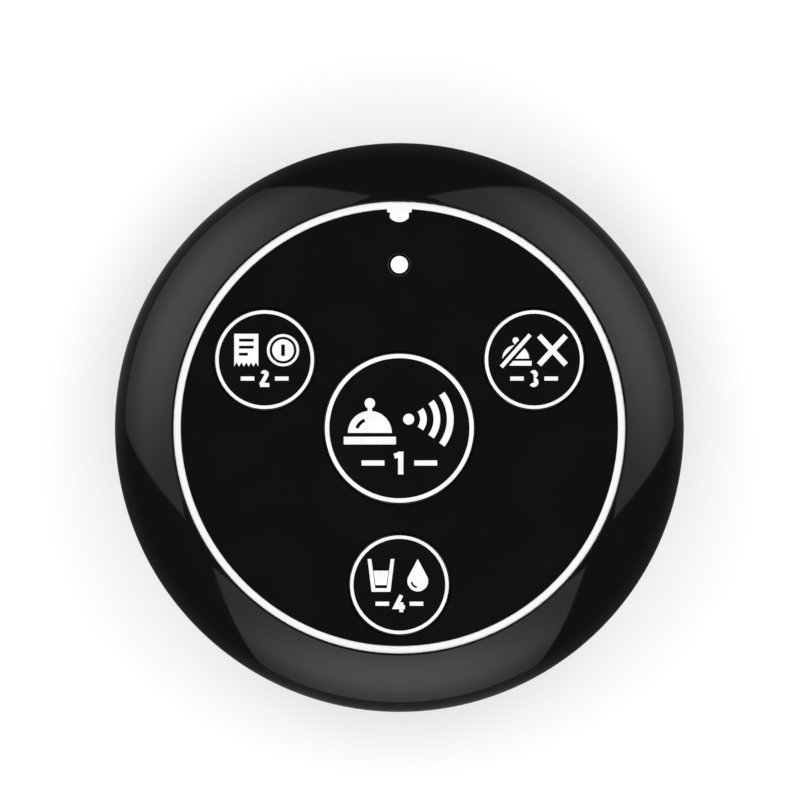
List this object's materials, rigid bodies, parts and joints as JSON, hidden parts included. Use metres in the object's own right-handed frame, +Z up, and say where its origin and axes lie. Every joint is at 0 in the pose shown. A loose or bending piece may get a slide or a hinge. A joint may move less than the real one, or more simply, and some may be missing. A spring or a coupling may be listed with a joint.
{
  "type": "table call button",
  "caption": "Round black table call button: a flat face of press keys inside a white ring, a status light, a bulging rim, and a twist-off battery cover with a soft pad beneath.",
  "frame": {"origin": "middle of the foot pad's underside, the face that it stands on", "axes": "+Z up out of the key face, +Y towards the status light, +X to the right as it is read"},
  "size_m": [0.08, 0.08, 0.021],
  "materials": {
    "gloss_black_case": "polished black injection-moulded ABS",
    "satin_black_base": "fine-textured black ABS",
    "white_trim": "semi-gloss white ABS",
    "black_face": "hard-coated black polycarbonate sheet",
    "gloss_black_key": "hard-coated black ABS with white print",
    "adhesive_film": "double-sided film",
    "milky_lens": "milky acrylic light pipe",
    "green_board": "green solder mask on glass epoxy",
    "diode_package": "white diode package with clear window",
    "chip_epoxy": "black moulded epoxy",
    "tinned_leads": "tin-plated copper alloy",
    "nickel_can": "nickel-plated can",
    "copper_wire": "enamelled copper wire",
    "resistor_ceramic": "black-coated chip resistor",
    "capacitor_ceramic": "tan multilayer ceramic",
    "cell_steel": "nickel-plated steel can",
    "cell_sleeve": "plain shrink sleeve",
    "contact_steel": "nickel-plated spring steel",
    "foot_rubber": "anti-slip silicone rubber",
    "screw_steel": "zinc-plated steel",
    "switch_plastic": "black glass-filled nylon",
    "switch_steel": "stainless steel",
    "plunger_plastic": "dark brown acetal"
  },
  "bodies": {
    "case": {"top_shell": "gloss_black_case", "base_shell": "satin_black_base", "trim_ring": "white_trim", "face_panel": "black_face", "panel_adhesive": "adhesive_film", "indicator_lens": "milky_lens", "circuit_board": "green_board", "status_led": "diode_package", "encoder_chip": "chip_epoxy", "encoder_leads": "tinned_leads", "rf_resonator": "nickel_can", "rf_transistor": "chip_epoxy", "aerial_coil": "copper_wire", "chip_resistors": "resistor_ceramic", "chip_capacitors": "capacitor_ceramic", "switch_terminals": "tinned_leads", "battery_can": "cell_steel", "battery_wrap": "cell_sleeve", "battery_positive_cap": "cell_steel", "negative_contact": "contact_steel", "positive_contact": "contact_steel", "battery_spring": "contact_steel", "case_screws": "screw_steel", "board_screws": "screw_steel", "call_switch_base": "switch_plastic", "call_switch_cover": "switch_steel", "call_snap_dome": "switch_steel", "bill_switch_base": "switch_plastic", "bill_switch_cover": "switch_steel", "bill_snap_dome": "switch_steel", "cancel_switch_base": "switch_plastic", "cancel_switch_cover": "switch_steel", "cancel_snap_dome": "switch_steel", "water_switch_base": "switch_plastic", "water_switch_cover": "switch_steel", "water_snap_dome": "switch_steel"},
    "call_button": {"call_key": "gloss_black_key", "call_switch_plunger": "plunger_plastic"},
    "bill_button": {"bill_key": "gloss_black_key", "bill_switch_plunger": "plunger_plastic"},
    "cancel_button": {"cancel_key": "gloss_black_key", "cancel_switch_plunger": "plunger_plastic"},
    "water_button": {"water_key": "gloss_black_key", "water_switch_plunger": "plunger_plastic"},
    "twist_cover": {"battery_cover": "satin_black_base", "foot_pad": "foot_rubber"}
  },
  "joints": [
    {"name": "call_press", "type": "slide", "parent": "case", "child": "call_button", "axis": [0, 0, -1], "range_m": [0, 0.0004], "stiffness_N_per_m": 1500, "springref_m": -0.0005, "deforming": ["call_snap_dome"]},
    {"name": "bill_press", "type": "slide", "parent": "case", "child": "bill_button", "axis": [0, 0, -1], "range_m": [0, 0.0004], "stiffness_N_per_m": 1500, "springref_m": -0.0005, "deforming": ["bill_snap_dome"]},
    {"name": "cancel_press", "type": "slide", "parent": "case", "child": "cancel_button", "axis": [0, 0, -1], "range_m": [0, 0.0004], "stiffness_N_per_m": 1500, "springref_m": -0.0005, "deforming": ["cancel_snap_dome"]},
    {"name": "water_press", "type": "slide", "parent": "case", "child": "water_button", "axis": [0, 0, -1], "range_m": [0, 0.0004], "stiffness_N_per_m": 1500, "springref_m": -0.0005, "deforming": ["water_snap_dome"]},
    {"name": "cover_twist", "type": "hinge", "parent": "case", "child": "twist_cover", "pos_m": [0, 0, 0], "axis": [0, 0, 1], "range_deg": [0, 20]}
  ]
}
